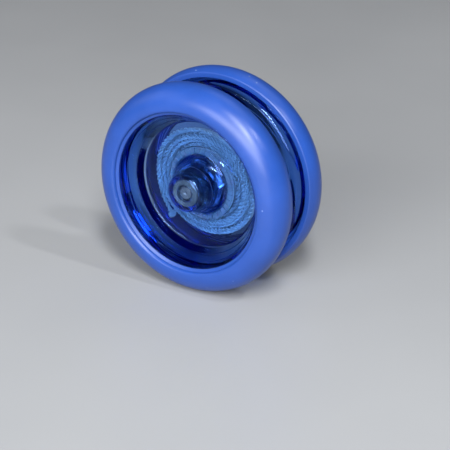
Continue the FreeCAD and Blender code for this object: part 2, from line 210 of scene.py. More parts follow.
class StudioSettings(PropertyGroup):
    camera_distance: FloatProperty(
        name="Camera distance", description="From the yo-yo's middle to the camera",
        default=0.44925, min=0.1, unit="LENGTH", precision=4)
    camera_turn: FloatProperty(
        name="Camera turn", description="How far round the camera stands from the front",
        default=math.radians(32.84), subtype="ANGLE")
    camera_rise: FloatProperty(
        name="Camera rise", description="How far up the camera stands",
        default=math.radians(22.75), subtype="ANGLE")
    aim_right: FloatProperty(
        name="Aim right", description="How far right of the yo-yo's middle the camera looks",
        default=0.00368, unit="LENGTH", precision=5)
    aim_down: FloatProperty(
        name="Aim down", description="How far below the yo-yo's middle the camera looks",
        default=0.01188, unit="LENGTH", precision=5)
    lens: FloatProperty(
        name="Lens", description="Focal length on a 36 mm sensor, in millimetres",
        default=141.9, min=20)
    key_power: FloatProperty(
        name="Key light", description="Power of the tall soft box in front, to the right",
        default=7.5, min=0, unit="POWER")
    front_power: FloatProperty(
        name="Front light", description="Power of the broad soft light in front",
        default=13.2, min=0, unit="POWER")
    fill_power: FloatProperty(
        name="Fill light", description="Power of the broad soft light on the left",
        default=0.8, min=0, unit="POWER")
    back_power: FloatProperty(
        name="Back light", description="Power of the soft light above and behind",
        default=0.7, min=0, unit="POWER")
    sparkle_power: FloatProperty(
        name="Sparkle light", description="Power of the small hard light on the right",
        default=0.9, min=0, unit="POWER")
    world_light: FloatProperty(
        name="Room light", description="Brightness of the even light from all round",
        default=0.08, min=0)


# ---------------------------------------------------------------- modelling helpers


def deselect():
    bpy.ops.object.select_all(action="DESELECT")


def begin(name):
    """Name the object that was just added and put its place into its mesh."""
    piece = bpy.context.object
    piece.name = name
    piece.data.name = name
    bpy.ops.object.transform_apply(location=True, rotation=True, scale=True)
    return piece


def pick(piece):
    """Make a piece the only one selected, and the active one."""
    deselect()
    piece.select_set(True)
    bpy.context.view_layer.objects.active = piece


def edit(piece, mode="VERT"):
    """Open a piece in edit mode with nothing selected."""
    pick(piece)
    bpy.ops.object.mode_set(mode="EDIT")
    bpy.ops.mesh.select_mode(type=mode)
    bpy.ops.mesh.select_all(action="DESELECT")


def leave_edit():
    bpy.ops.object.mode_set(mode="OBJECT")


def select_faces(piece, wanted):
    """Open a piece in edit mode with the faces that pass the test selected."""
    edit(piece, "FACE")
    leave_edit()
    found = 0
    for face in piece.data.polygons:
        face.select = wanted(face)
        found += face.select
    if not found:
        raise RuntimeError(f"{piece.name}: no face to select")
    bpy.ops.object.mode_set(mode="EDIT")


def select_edges(piece, wanted):
    """Open a piece in edit mode with the edges that pass the test selected."""
    edit(piece, "EDGE")
    leave_edit()
    corners = piece.data.vertices
    found = 0
    for line in piece.data.edges:
        line.select = wanted(corners[line.vertices[0]].co, corners[line.vertices[1]].co)
        found += line.select
    if not found:
        raise RuntimeError(f"{piece.name}: no edge to select")
    bpy.ops.object.mode_set(mode="EDIT")


def arc(centre, first, last, steps):
    """Points round a centre from one spoke to another."""
    return [tuple(centre + first.slerp(last, step / steps) * first.length) for step in range(steps + 1)]


def sweep(start, end, radius, steps):
    """Points on the short arc of a signed radius; a positive one bulges to the right of start to end."""
    start, end = Vector(start), Vector(end)
    chord = end - start
    left = Vector((-chord.y, chord.x)).normalized()
    reach = math.sqrt(radius ** 2 - chord.length_squared / 4)
    centre = (start + end) / 2 + left * math.copysign(reach, radius)
    return arc(centre, start - centre, end - centre, steps)


def rounded(corners):
    """Outline points, with each (radius, height, round) corner turned into a small arc."""
    support = 1.25
    points = []
    for index, corner in enumerate(corners):
        if len(corner) == 2:
            points.append(corner)
            continue
        here = Vector(corner[:2])
        back = (Vector(corners[index - 1][:2]) - here).normalized()
        onward = (Vector(corners[(index + 1) % len(corners)][:2]) - here).normalized()
        half = back.angle(onward) / 2
        reach = corner[2] / math.tan(half)
        centre = here + (back + onward).normalized() * corner[2] / math.sin(half)
        first = here + back * reach - centre
        last = here + onward * reach - centre
        points.append(tuple(here + back * reach * support))
        points += arc(centre, first, last, CORNER_STEPS)
        points.append(tuple(here + onward * reach * support))
    return points


def lathe(name, outline, segments, closed=True):
    """Turn an outline of (radius, height) points about the axle, on the front half's side."""
    deselect()
    bpy.ops.mesh.primitive_plane_add(size=0.001, location=(outline[0][0], -outline[0][1], 0))
    piece = begin(name)
    bpy.ops.object.mode_set(mode="EDIT")
    bpy.ops.mesh.select_mode(type="VERT")
    bpy.ops.mesh.select_all(action="SELECT")
    bpy.ops.mesh.merge(type="CENTER")
    onward = outline[1:] + outline[:1] if closed else outline[1:]
    for here, after in zip(outline, onward):
        step = (after[0] - here[0], here[1] - after[1], 0)
        bpy.ops.mesh.extrude_region_move(TRANSFORM_OT_translate={"value": step})
    bpy.ops.mesh.select_all(action="SELECT")
    bpy.ops.mesh.spin(steps=segments, angle=math.tau, center=(0, 0, 0), axis=(0, 1, 0))
    bpy.ops.mesh.select_all(action="SELECT")
    bpy.ops.mesh.remove_doubles(threshold=WELD * 10)
    bpy.ops.mesh.normals_make_consistent(inside=False)
    leave_edit()
    return piece


def smooth(piece, degrees=32):
    pick(piece)
    bpy.ops.object.shade_smooth_by_angle(angle=math.radians(degrees))


def join(piece, *others):
    """Make several shells one piece, named for the first."""
    pick(piece)
    for other in others:
        other.select_set(True)
    bpy.ops.object.join()
    return piece


def cut(piece, cutter):
    """Take a cutter's shape out of a piece, and remove the cutter."""
    pick(piece)
    change = piece.modifiers.new("Cut", "BOOLEAN")
    change.operation = "DIFFERENCE"
    change.solver = "EXACT"
    change.object = cutter
    before = len(piece.data.polygons)
    bpy.ops.object.modifier_apply(modifier=change.name)
    if len(piece.data.polygons) == before:
        raise RuntimeError(f"{piece.name}: the cut changed nothing")
    pick(cutter)
    bpy.ops.object.delete()


def hexagon(name, across_flats, low, high):
    """Six-sided bar along the axle on the front half's side, corners to the left and right."""
    deselect()
    bpy.ops.mesh.primitive_cylinder_add(
        vertices=HEX_SIDES, radius=across_flats / math.sqrt(3), depth=high - low,
        location=(0, -(low + high) / 2, 0), rotation=(math.pi / 2, 0, 0))
    piece = begin(name)
    edit(piece)
    bpy.ops.mesh.select_all(action="SELECT")
    bpy.ops.transform.rotate(value=math.pi / HEX_SIDES, orient_axis="Y", center_override=(0, 0, 0))
    leave_edit()
    return piece


def rear_copy(piece, name):
    """A copy with its own mesh, turned end for end about the upright line through the middle."""
    pick(piece)
    bpy.ops.object.duplicate(linked=False)
    twin = bpy.context.object
    twin.name = name
    twin.data.name = name
    bpy.ops.transform.rotate(value=math.pi, orient_axis="Z", center_override=(0, 0, 0))
    bpy.ops.object.transform_apply(location=True, rotation=True, scale=True)
    return twin


def fit(piece, body, slot, material, *nodes):
    """Give a finished piece its material and its place among the CAD bodies."""
    piece.data.materials.clear()
    piece.data.materials.append(material)
    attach(piece, body)
    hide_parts(*nodes)


def fit_pair(front, name, slot, material, node, rear_body="rear_half"):
    """Fit a front piece, then its copy for the rear half, which takes the other name."""
    rear = rear_copy(front, name)
    fit(front, "front_half", slot, material, f"front_{node}")
    fit(rear, rear_body, slot, material, f"rear_{node}")


# ---------------------------------------------------------------- materials


def add_node(tree, kind, **settings):
    item = tree.nodes.new(kind)
    for name, value in settings.items():
        setattr(item, name, value)
    return item


def new_finish(name, **sockets):
    """A material whose shader has these uniform values on its own sockets."""
    material = bpy.data.materials.new(name)
    material.use_nodes = True
    tree = material.node_tree
    shader = next(item for item in tree.nodes if item.type == "BSDF_PRINCIPLED")
    for socket, value in sockets.items():
        shader.inputs[socket.replace("_", " ")].default_value = value
    return material, tree, shader


def object_place(tree, scale=(1, 1, 1)):
    """Object coordinates, stretched by a Mapping node."""
    place = add_node(tree, "ShaderNodeTexCoord")
    mapping = add_node(tree, "ShaderNodeMapping")
    mapping.inputs["Scale"].default_value = scale
    tree.links.new(place.outputs["Object"], mapping.inputs["Vector"])
    return mapping.outputs["Vector"]


def noise_value(tree, place, scale, detail, roughness=0.55):
    texture = add_node(tree, "ShaderNodeTexNoise")
    texture.inputs["Scale"].default_value = scale
    texture.inputs["Detail"].default_value = detail
    texture.inputs["Roughness"].default_value = roughness
    tree.links.new(place, texture.inputs["Vector"])
    return texture.outputs["Fac"]


def colour_ramp(tree, value, *stops):
    """Colours at stated places of a value that runs from 0 to 1."""
    ramp = add_node(tree, "ShaderNodeValToRGB")
    band = ramp.color_ramp
    while len(band.elements) < len(stops):
        band.elements.new(0.5)
    for element, (position, colour) in zip(band.elements, stops):
        element.position = position
        element.color = (*colour, 1)
    tree.links.new(value, ramp.inputs["Fac"])
    return ramp.outputs["Color"]


def value_range(tree, value, low, high, from_low=0.3, from_high=0.7):
    """A value's run from one number to another, spread over low to high and held beyond them."""
    spread = add_node(tree, "ShaderNodeMapRange")
    spread.inputs["From Min"].default_value = from_low
    spread.inputs["From Max"].default_value = from_high
    spread.inputs["To Min"].default_value = low
    spread.inputs["To Max"].default_value = high
    tree.links.new(value, spread.inputs["Value"])
    return spread.outputs["Result"]


def combine(tree, operation, first, second):
    """Arithmetic on two patterns, or on a pattern and a number."""
    sums = add_node(tree, "ShaderNodeMath", operation=operation)
    for socket, value in zip(sums.inputs, (first, second)):
        if isinstance(value, (int, float)):
            socket.default_value = value
        else:
            tree.links.new(value, socket)
    return sums.outputs["Value"]


def bump(tree, shader, height, distance, strength):
    relief = add_node(tree, "ShaderNodeBump")
    relief.inputs["Distance"].default_value = distance
    relief.inputs["Strength"].default_value = strength
    tree.links.new(height, relief.inputs["Height"])
    tree.links.new(relief.outputs["Normal"], shader.inputs["Normal"])


def tint(colour, factor):
    return tuple(min(1.0, channel * factor) for channel in colour)


def clear_blue_plastic():
    """Clear moulded plastic that soaks up red and green light and lets blue through.

    The hub post's side has a fine ripple, and its flared foot is a little frosted.
    """
    tip_edge = (0.0041, 0.0046)
    waist_edge = (0.0050, 0.0056)
    foot_edge = (0.0076, 0.0068)
    foot_frost = 0.18
    ripple_height = 14
    # The blue specular tint paints the plastic's real reflections blue where clear plastic reflects
    # neutral light: a painted tint on the reflections.
    material, tree, shader = new_finish(
        "clear_blue_plastic", IOR=1.49, Transmission_Weight=1.0, Specular_Tint=(0.30, 0.50, 1.0, 1))
    place = object_place(tree)
    smudge = noise_value(tree, place, 160, 4)
    tone = colour_ramp(tree, smudge, (0.25, (0.86, 0.92, 1.0)), (0.75, (0.95, 0.98, 1.0)))
    tree.links.new(tone, shader.inputs["Base Color"])
    flow = noise_value(tree, object_place(tree, (1, 0.35, 1)), 420, 2)
    off_axis = add_node(tree, "ShaderNodeVectorMath", operation="LENGTH")
    tree.links.new(object_place(tree, (1, 0, 1)), off_axis.inputs[0])
    radius = off_axis.outputs["Value"]
    within_foot = value_range(tree, radius, 0, 1, *foot_edge)
    post_only = combine(tree, "MULTIPLY", value_range(tree, radius, 0, 1, *tip_edge), within_foot)
    foot_only = combine(tree, "MULTIPLY", value_range(tree, radius, 0, 1, *waist_edge), within_foot)
    frost = combine(tree, "ADD", value_range(tree, smudge, 0.004, 0.03),
                    combine(tree, "MULTIPLY", foot_only, foot_frost))
    tree.links.new(frost, shader.inputs["Roughness"])
    ripple = combine(tree, "MULTIPLY", post_only, noise_value(tree, place, 1500, 2))
    relief = combine(tree, "ADD", flow, combine(tree, "MULTIPLY", ripple, ripple_height))
    bump(tree, shader, relief, 0.000006, 0.4)
    depth = add_node(tree, "ShaderNodeVolumeAbsorption")
    depth.inputs["Color"].default_value = (0.07, 0.47, 0.93, 1)
    depth.inputs["Density"].default_value = 375
    output = next(item for item in tree.nodes if item.type == "OUTPUT_MATERIAL")
    tree.links.new(depth.outputs["Volume"], output.inputs["Volume"])
    return material


def matte_rim_plastic(colour):
    """Satin moulded plastic with a fine grain, faint clouding and a little dust."""
    material, tree, shader = new_finish("matte_rim_plastic", IOR=1.5)
    place = object_place(tree)
    cloud = noise_value(tree, place, 90, 4)
    body = colour_ramp(tree, cloud, (0.3, tint(colour, 0.9)), (0.7, tint(colour, 1.08)))
    dust = add_node(tree, "ShaderNodeTexVoronoi")
    dust.inputs["Scale"].default_value = 420
    tree.links.new(place, dust.inputs["Vector"])
    rare = noise_value(tree, place, 230, 1)
    speck = combine(tree, "MULTIPLY",
                    combine(tree, "LESS_THAN", dust.outputs["Distance"], 0.07),
                    combine(tree, "GREATER_THAN", rare, 0.60))
    dusty = add_node(tree, "ShaderNodeMix", data_type="RGBA")
    tree.links.new(combine(tree, "MULTIPLY", speck, 0.45), dusty.inputs["Factor"])
    tree.links.new(body, dusty.inputs["A"])
    dusty.inputs["B"].default_value = (0.45, 0.55, 0.85, 1)
    tree.links.new(dusty.outputs["Result"], shader.inputs["Base Color"])
    gloss = value_range(tree, noise_value(tree, place, 260, 3), 0.31, 0.39)
    tree.links.new(gloss, shader.inputs["Roughness"])
    grain = combine(tree, "ADD", noise_value(tree, place, 5200, 2),
                    combine(tree, "MULTIPLY", noise_value(tree, place, 900, 2), 0.8))
    bump(tree, shader, grain, 0.000006, 0.6)
    return material


def silicone():
    material, tree, shader = new_finish(
        "silicone", IOR=1.41, Subsurface_Weight=0.25, Subsurface_Scale=0.001)
    place = object_place(tree)
    cloud = noise_value(tree, place, 500, 3)
    tone = colour_ramp(tree, cloud, (0.3, (0.25, 0.36, 0.47)), (0.7, (0.36, 0.48, 0.58)))
    tree.links.new(tone, shader.inputs["Base Color"])
    tree.links.new(value_range(tree, cloud, 0.38, 0.55), shader.inputs["Roughness"])
    bump(tree, shader, noise_value(tree, place, 2600, 2), 0.00001, 0.5)
    return material


def machined(name, dark, light, roughness, ring_scale=0.0):
    """Metal turned on a lathe: fine rings round the axle where stated, and a fine grain."""
    material, tree, shader = new_finish(name, Metallic=1.0)
    place = object_place(tree)
    cloud = noise_value(tree, place, 700, 4)
    tree.links.new(colour_ramp(tree, cloud, (0.3, dark), (0.7, light)), shader.inputs["Base Color"])
    low, high = roughness
    tree.links.new(value_range(tree, cloud, low, high), shader.inputs["Roughness"])
    height = noise_value(tree, place, 2400, 2)
    if ring_scale:
        rings = add_node(tree, "ShaderNodeTexWave", wave_type="RINGS", rings_direction="Y")
        rings.inputs["Scale"].default_value = ring_scale
        rings.inputs["Distortion"].default_value = 0.6
        rings.inputs["Detail"].default_value = 2
        tree.links.new(place, rings.inputs["Vector"])
        height = combine(tree, "ADD", combine(tree, "MULTIPLY", height, 0.3), rings.outputs["Fac"])
    bump(tree, shader, height, 0.000008, 0.6)
    return material


def cotton():
    """Twisted cotton: fine fibres that follow each ply, with soft fuzz."""
    material, tree, shader = new_finish("cotton", Sheen_Weight=0.35, Sheen_Roughness=0.5, IOR=1.45)
    lay = add_node(tree, "ShaderNodeUVMap", uv_map="lay")
    fibre = add_node(tree, "ShaderNodeMapping")
    fibre.inputs["Rotation"].default_value = (0, 0, math.radians(35))
    fibre.inputs["Scale"].default_value = (9, 1.6, 1)
    tree.links.new(lay.outputs["UV"], fibre.inputs["Vector"])
    threads = noise_value(tree, fibre.outputs["Vector"], 3.0, 3, 0.65)
    soil = noise_value(tree, object_place(tree), 330, 4)
    mixed = combine(tree, "ADD", combine(tree, "MULTIPLY", threads, 0.6),
                    combine(tree, "MULTIPLY", soil, 0.4))
    tone = colour_ramp(tree, mixed, (0.32, (0.50, 0.64, 0.67)), (0.50, (0.75, 0.91, 0.92)),
                       (0.66, (0.85, 0.98, 0.98)))
    tree.links.new(tone, shader.inputs["Base Color"])
    tree.links.new(value_range(tree, threads, 0.75, 0.95), shader.inputs["Roughness"])
    bump(tree, shader, threads, 0.00009, 0.9)
    return material


def pale_floor():
    material, tree, shader = new_finish("pale_floor", IOR=1.45)
    place = object_place(tree)
    cloud = noise_value(tree, place, 9, 3)
    tone = colour_ramp(tree, cloud, (0.3, (0.32, 0.33, 0.345)), (0.7, (0.345, 0.355, 0.37)))
    tree.links.new(tone, shader.inputs["Base Color"])
    tree.links.new(value_range(tree, cloud, 0.34, 0.42), shader.inputs["Roughness"])
    return material


# ---------------------------------------------------------------- pieces


def moulding_outline(sizes):
    """Section of the clear half: along the gap wall, over the flange, down the cup and up the post."""
    edge = EDGE_ROUND
    grip = INSERT_RADIUS - 0.0004
    recess_radius = 0.00665
    recess_floor = 0.0027
    groove_inner = 0.00735
    groove_outer = RING_OUTER + SEAT_GAP
    groove_floor = RING_BACK + SEAT_GAP
    wall_end = 0.0150
    wall_round = 0.0008
    land_radius = FLANGE_RADIUS - 0.0011
    ledge = 0.00025
    step = 0.00015
    step_round = step * 0.3
    foot_radius = 0.0169
    foot_height = 0.00525
    foot_round = 0.00075
    collar_rise = 0.0002
    flare_round = 0.0046
    post_tip = 0.00415
    tip_round = 0.0009
    tip_height = POST_TOP - 0.00024
    neck_height = tip_height - 0.00085
    crown_round = 0.036
    bore_end = INSERT_TOP - 0.0002
    shoulder = sweep((sizes.shoulder_radius, sizes.shoulder_height), (land_radius, LAND_HEIGHT),
                     sizes.shoulder_round, 8)
    foot = sweep((foot_radius, foot_height), (sizes.floor_radius, sizes.floor_height), -foot_round, 6)
    flare = sweep((sizes.post_foot_radius, sizes.floor_height + collar_rise),
                  (sizes.post_waist_radius, sizes.post_waist_height), -flare_round, 10)
    tip = sweep((sizes.post_neck_radius, neck_height), (post_tip, tip_height), tip_round, 6)
    crown = sweep((post_tip, tip_height), (0, POST_TOP), crown_round, 5)
    return rounded([
        (0, bore_end),
        (grip, bore_end),
        (grip, recess_floor),
        (recess_radius, recess_floor, edge),
        (recess_radius, WALL_HEIGHT, edge * 2),
        (groove_inner, WALL_HEIGHT, edge * 2),
        (groove_inner, groove_floor, edge),
        (groove_outer, groove_floor, edge),
        (groove_outer, WALL_HEIGHT, edge * 2),
        (wall_end, WALL_HEIGHT, wall_round),
        *shoulder,
        (FLANGE_RADIUS, LAND_HEIGHT, edge),
        (FLANGE_RADIUS, FLANGE_TOP, edge),
        (sizes.seat_radius, SEAT_BOTTOM, edge),
        (sizes.seat_radius, SEAT_TOP, edge),
        (sizes.sleeve_radius, SEAT_TOP, edge),
        (sizes.sleeve_radius, sizes.sleeve_top, edge),
        (sizes.sleeve_radius - ledge, sizes.sleeve_top, edge),
        (sizes.cup_step_radius, sizes.cup_step_height, step_round),
        (sizes.cup_step_radius - step, sizes.cup_step_height, step_round),
        (sizes.cup_ledge_radius, sizes.cup_ledge_height, step_round),
        (sizes.cup_ledge_radius - step, sizes.cup_ledge_height, step_round),
        *foot,
        (sizes.collar_radius, sizes.floor_height, edge),
        (sizes.collar_radius - collar_rise, sizes.floor_height + collar_rise, edge),
        *flare,
        (sizes.post_waist_radius - ledge, sizes.post_waist_height, edge),
        *tip,
        *crown[1:],
    ])


class YOYO_OT_clear_halves(Operator):
    """Build the two clear mouldings with their cups, posts and bearing recesses"""

    bl_idname = "yoyo.clear_halves"
    bl_label = "Clear halves"

    def execute(self, context):
        sizes = context.scene.yoyo_clear_half
        front = lathe("clear_half_front", moulding_outline(sizes), BIG_TURN, closed=False)
        cut(front, hexagon("pocket_cutter", across_flats=0.00808, low=0.0020, high=0.0042))
        smooth(front)
        fit_pair(front, "clear_half_rear", "clear_blue", clear_blue_plastic(), "body")
        return {"FINISHED"}


def rim_outline(sizes, half):
    """Section of the rim ring, from its sleeve seat round the crown to its back edge."""
    crown_height = CROWN_TOP - sizes.crown_round
    crown_radius = RIM_RADIUS - sizes.crown_round
    back_round = 0.0005
    back_edge = LAND_HEIGHT + back_round * 0.8
    back_radius = crown_radius + math.sqrt(sizes.crown_round ** 2 - (crown_height - back_edge) ** 2)
    sleeve = half.sleeve_radius + SEAT_GAP
    seat = half.seat_radius + SEAT_GAP
    flange = FLANGE_RADIUS + SEAT_GAP
    mouth_start = crown_radius - 0.0005
    mouth_round = 0.00095
    back = sweep((back_radius - back_round, LAND_HEIGHT), (back_radius, back_edge), back_round, 5)
    crown = sweep((back_radius, back_edge), (RIM_RADIUS, crown_height), sizes.crown_round, 10)
    front = sweep((RIM_RADIUS, crown_height), (crown_radius, CROWN_TOP), sizes.crown_round, 20)
    mouth = sweep((mouth_start, CROWN_TOP), (sizes.mouth_radius, sizes.mouth_height), mouth_round, 8)
    return rounded([
        (sleeve, SEAT_TOP + SEAT_GAP),
        (seat, SEAT_TOP + SEAT_GAP),
        (seat, SEAT_BOTTOM + SEAT_GAP),
        (flange, FLANGE_TOP + SEAT_GAP),
        (flange, LAND_HEIGHT, EDGE_ROUND),
        *back,
        *crown[1:],
        *front[1:],
        *mouth,
        (sleeve, half.sleeve_top + SEAT_GAP, EDGE_ROUND),
    ])


class YOYO_OT_rims(Operator):
    """Build the two rounded rim rings"""

    bl_idname = "yoyo.rims"
    bl_label = "Rim rings"

    def execute(self, context):
        sizes = context.scene.yoyo_rim
        front = lathe("rim_ring_front", rim_outline(sizes, context.scene.yoyo_clear_half), BIG_TURN)
        smooth(front)
        fit_pair(front, "rim_ring_rear", "rim_blue", matte_rim_plastic(sizes.colour), "rim")
        return {"FINISHED"}


class YOYO_OT_response_rings(Operator):
    """Build the two ribbed silicone rings in the gap walls"""

    bl_idname = "yoyo.response_rings"
    bl_label = "Response rings"

    def execute(self, context):
        inner = 0.00737
        edge = 0.00012
        segments = 72
        rib_degrees = 5
        rib_border = 0.00008
        rib_depth = 0.0002

        def between_ribs(face):
            place = face.center
            across_face = abs(face.normal.y) > 0.9 and math.hypot(place.x, place.z) < RING_OUTER - edge
            return across_face and int(math.degrees(math.atan2(place.z, place.x)) // rib_degrees) % 2 == 0

        front = lathe("response_ring_front", rounded([
            (inner, RING_FRONT, edge),
            (RING_OUTER, RING_FRONT, edge),
            (RING_OUTER, RING_BACK, edge),
            (inner, RING_BACK, edge),
        ]), segments)
        select_faces(front, between_ribs)
        bpy.ops.mesh.inset(thickness=rib_border, depth=-rib_depth, use_individual=True)
        leave_edit()
        smooth(front)
        fit_pair(front, "response_ring_rear", "response_rubber", silicone(), "response_ring")
        return {"FINISHED"}


def knurled_band(name, low, high, sizes):
    """A band of raised diamonds between two heights of the insert."""
    teeth = sizes.knurl_teeth
    root = INSERT_RADIUS - sizes.knurl_depth
    width = math.tau * root / teeth
    rows = max(2, round((high - low) / (width * 1.5)))
    border = width * 0.22
    inner = root - 0.0002
    band_floor = root - 0.0001
    sides = [(root, low + (high - low) * row / rows) for row in range(rows + 1)]
    band = lathe(name, [(inner, low), *sides, (inner, high)], teeth)
    lines = {round((low + (high - low) * row / rows) / WELD) for row in range(rows + 1)}
    inside = lines - {min(lines), max(lines)}

    def on_band(face):
        return math.hypot(face.normal.x, face.normal.z) > 0.9 and \
            math.hypot(face.center.x, face.center.z) > band_floor

    def old_line(first, second):
        grid = [round(-corner.y / WELD) for corner in (first, second)]
        if min(math.hypot(corner.x, corner.z) for corner in (first, second)) < band_floor:
            return False
        if grid[0] == grid[1]:
            return grid[0] in inside
        return all(min(abs(line - value) for line in lines) < 10 for value in grid)

    select_faces(band, on_band)
    bpy.ops.mesh.poke(offset=0, use_relative_offset=False)
    leave_edit()
    select_edges(band, old_line)
    bpy.ops.mesh.dissolve_edges(use_verts=False)
    leave_edit()
    select_faces(band, on_band)
    bpy.ops.mesh.inset(thickness=border, depth=sizes.knurl_depth, use_individual=True)
    leave_edit()
    return band


class YOYO_OT_inserts(Operator):
    """Build the two threaded sleeves with their knurled bands and turned ends"""

    bl_idname = "yoyo.inserts"
    bl_label = "Knurled inserts"

    def execute(self, context):
        sizes = context.scene.yoyo_metal
        edge = 0.00004
        bore = AXLE_RADIUS + BORE_GAP
        core = INSERT_RADIUS - sizes.knurl_depth - 0.00008
        collar = INSERT_RADIUS - 0.00025
        collar_length = 0.0003
        groove_depth = 0.00006
        groove_slope = 0.00004
        turned_end = []
        for outer, inner, outer_edge in ((0.00300, 0.00278, edge), (0.00256, 0.00236, edge / 2)):
            turned_end += [
                (outer, INSERT_TOP, outer_edge),
                (outer - groove_slope, INSERT_TOP - groove_depth, edge / 2),
                (inner + groove_slope, INSERT_TOP - groove_depth, edge / 2),
                (inner, INSERT_TOP, edge / 2),
            ]
        front = lathe("knurled_insert_front", rounded([
            (bore, INSERT_BOTTOM),
            (collar, INSERT_BOTTOM, edge),
            (collar, INSERT_BOTTOM + collar_length, edge),
            (core, INSERT_BOTTOM + collar_length),
            (core, INSERT_TOP - collar_length),
            (collar, INSERT_TOP - collar_length, edge),
            (collar, INSERT_TOP, edge),
            *turned_end,
            (bore + 0.00018, INSERT_TOP, edge / 2),
            (bore, INSERT_TOP - 0.0002, edge / 2),
        ]), SMALL_TURN)
        length = INSERT_TOP - INSERT_BOTTOM
        band_gap = 0.0008
        marks = [INSERT_BOTTOM + collar_length]
        for share in (0.28, 0.66):
            marks += [INSERT_BOTTOM + length * share, INSERT_BOTTOM + length * share + band_gap]
        marks.append(INSERT_TOP - collar_length)
        bands = [knurled_band(f"knurl_{index}", marks[index], marks[index + 1], sizes)
                 for index in (0, 2, 4)]
        smooth(front)
        join(front, *bands)
        # The insert's steel colours are painted darker and bluer than bare steel. The darkness is painted
        # shade standing in for a dark reflection, and the blue is a painted tint for the clear plastic
        # over it.
        material = machined(
            "turned_steel_painted_shade", (0.17, 0.24, 0.32), (0.32, 0.41, 0.50), (0.16, 0.28), ring_scale=3200)
        fit_pair(front, "knurled_insert_rear", "knurled_steel", material, "insert")
        return {"FINISHED"}


class YOYO_OT_axle(Operator):
    """Build the threaded axle with a turning centre's mark in each end"""

    bl_idname = "yoyo.axle"
    bl_label = "Axle"

    def execute(self, context):
        sizes = context.scene.yoyo_metal
        root = AXLE_RADIUS - sizes.thread_depth
        mark_radius = 0.0005
        mark_depth = 0.0004
        slope = 0.0002
        slope_start = AXLE_END - 0.0003
        core = lathe("threaded_axle", rounded([
            (0, -AXLE_END + mark_depth),
            (mark_radius, -AXLE_END, 0.00004),
            (root - slope, -AXLE_END, 0.00008),
            (root, -slope_start),
            (root, slope_start),
            (root - slope, AXLE_END, 0.00008),
            (mark_radius, AXLE_END, 0.00004),
            (0, AXLE_END - mark_depth),
        ]), SMALL_TURN, closed=False)
        smooth(core)
        plain_end = 0.0005
        turns = int(2 * (AXLE_END - plain_end) / sizes.thread_pitch)
        start = turns * sizes.thread_pitch / 2
        half_foot = sizes.thread_pitch * 0.44
        half_root = half_foot * 0.95
        half_crest = half_foot * 0.2
        buried = root - 0.0001
        section = [
            (buried, start + half_foot), (root, start + half_root),
            (AXLE_RADIUS, start + half_crest), (AXLE_RADIUS, start - half_crest),
            (root, start - half_root), (buried, start - half_foot),
        ]
        deselect()
        bpy.ops.mesh.primitive_circle_add(vertices=len(section), radius=root, location=(0, -start, 0))
        thread = begin("thread")
        for corner, (radius, height) in zip(thread.data.vertices, section):
            corner.co = (radius, -height, 0)
        pick(thread)
        wind = thread.modifiers.new("Wind", "SCREW")
        wind.axis = "Y"
        wind.angle = math.tau
        wind.screw_offset = sizes.thread_pitch
        wind.iterations = turns
        wind.steps = wind.render_steps = 40
        wind.use_merge_vertices = True
        bpy.ops.object.modifier_apply(modifier=wind.name)
        edit(thread)
        bpy.ops.mesh.select_non_manifold()
        bpy.ops.mesh.edge_face_add()
        bpy.ops.mesh.select_all(action="SELECT")
        bpy.ops.mesh.normals_make_consistent(inside=False)
        leave_edit()
        smooth(thread, 40)
        join(core, thread)
        material = machined("axle_steel_finish", (0.34, 0.34, 0.36), (0.48, 0.48, 0.50), (0.22, 0.36))
        fit(core, "front_half", "axle_steel", material, "axle")
        return {"FINISHED"}


class YOYO_OT_spacers(Operator):
    """Build the two spacers, each a bush with a hexagonal head"""

    bl_idname = "yoyo.spacers"
    bl_label = "Spacers"

    def execute(self, context):
        edge = 0.00008
        bore = AXLE_RADIUS + BORE_GAP
        bush = 0.003145
        shoulder = BEARING_HALF_WIDTH + SEAT_GAP
        chamfered = SPACER_CORNER - 0.0003
        chamfer_height = 0.0002
        front = lathe("hex_spacer_front", rounded([
            (bore, SPACER_BOTTOM, edge),
            (bush, SPACER_BOTTOM, edge),
            (bush, shoulder),
            (chamfered, shoulder),
            (SPACER_CORNER, shoulder + chamfer_height),
            (SPACER_CORNER, SPACER_TOP - chamfer_height),
            (chamfered, SPACER_TOP),
            (bore, SPACER_TOP, edge),
        ]), SMALL_TURN)
        flat = SPACER_CORNER * math.sqrt(3) / 2
        for side in range(HEX_SIDES):
            turn = math.radians(30 + 60 * side)
            outward = Vector((math.cos(turn), 0, math.sin(turn)))
            edit(front)
            bpy.ops.mesh.select_all(action="SELECT")
            bpy.ops.mesh.bisect(plane_co=outward * flat, plane_no=outward, use_fill=True, clear_outer=True)
            leave_edit()
        smooth(front)
        material = machined(
            "bright_aluminium", (0.62, 0.63, 0.65), (0.76, 0.77, 0.79), (0.24, 0.38), ring_scale=2600)
        fit_pair(front, "hex_spacer_rear", "spacer_aluminium", material, "spacer", "rear_spacer")
        return {"FINISHED"}


class YOYO_OT_bearing(Operator):
    """Give the bearing's CAD pieces their metals"""

    bl_idname = "yoyo.bearing"
    bl_label = "Bearing"

    def execute(self, context):
        race = machined(
            "ground_steel", (0.55, 0.56, 0.58), (0.68, 0.69, 0.71), (0.12, 0.22), ring_scale=2800)
        bronze = machined("pressed_bronze", (0.50, 0.36, 0.15), (0.64, 0.48, 0.22), (0.22, 0.34))
        shield = machined(
            "pressed_shield", (0.46, 0.47, 0.49), (0.60, 0.61, 0.63), (0.20, 0.32), ring_scale=2000)
        chrome = machined("polished_chrome", (0.72, 0.72, 0.74), (0.82, 0.82, 0.84), (0.04, 0.10))
        finishes = {
            "bearing_inner_race": race, "bearing_outer_race": race, "bearing_cage": bronze,
            "front_shield": shield, "rear_shield": shield,
            "front_shield_clip": shield, "rear_shield_clip": shield,
        }
        for number in range(1, 9):
            finishes[f"bearing_ball_{number}"] = chrome
        for node, material in finishes.items():
            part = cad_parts[node]
            part.data.materials.clear()
            part.data.materials.append(material)
        return {"FINISHED"}


# ---------------------------------------------------------------- string


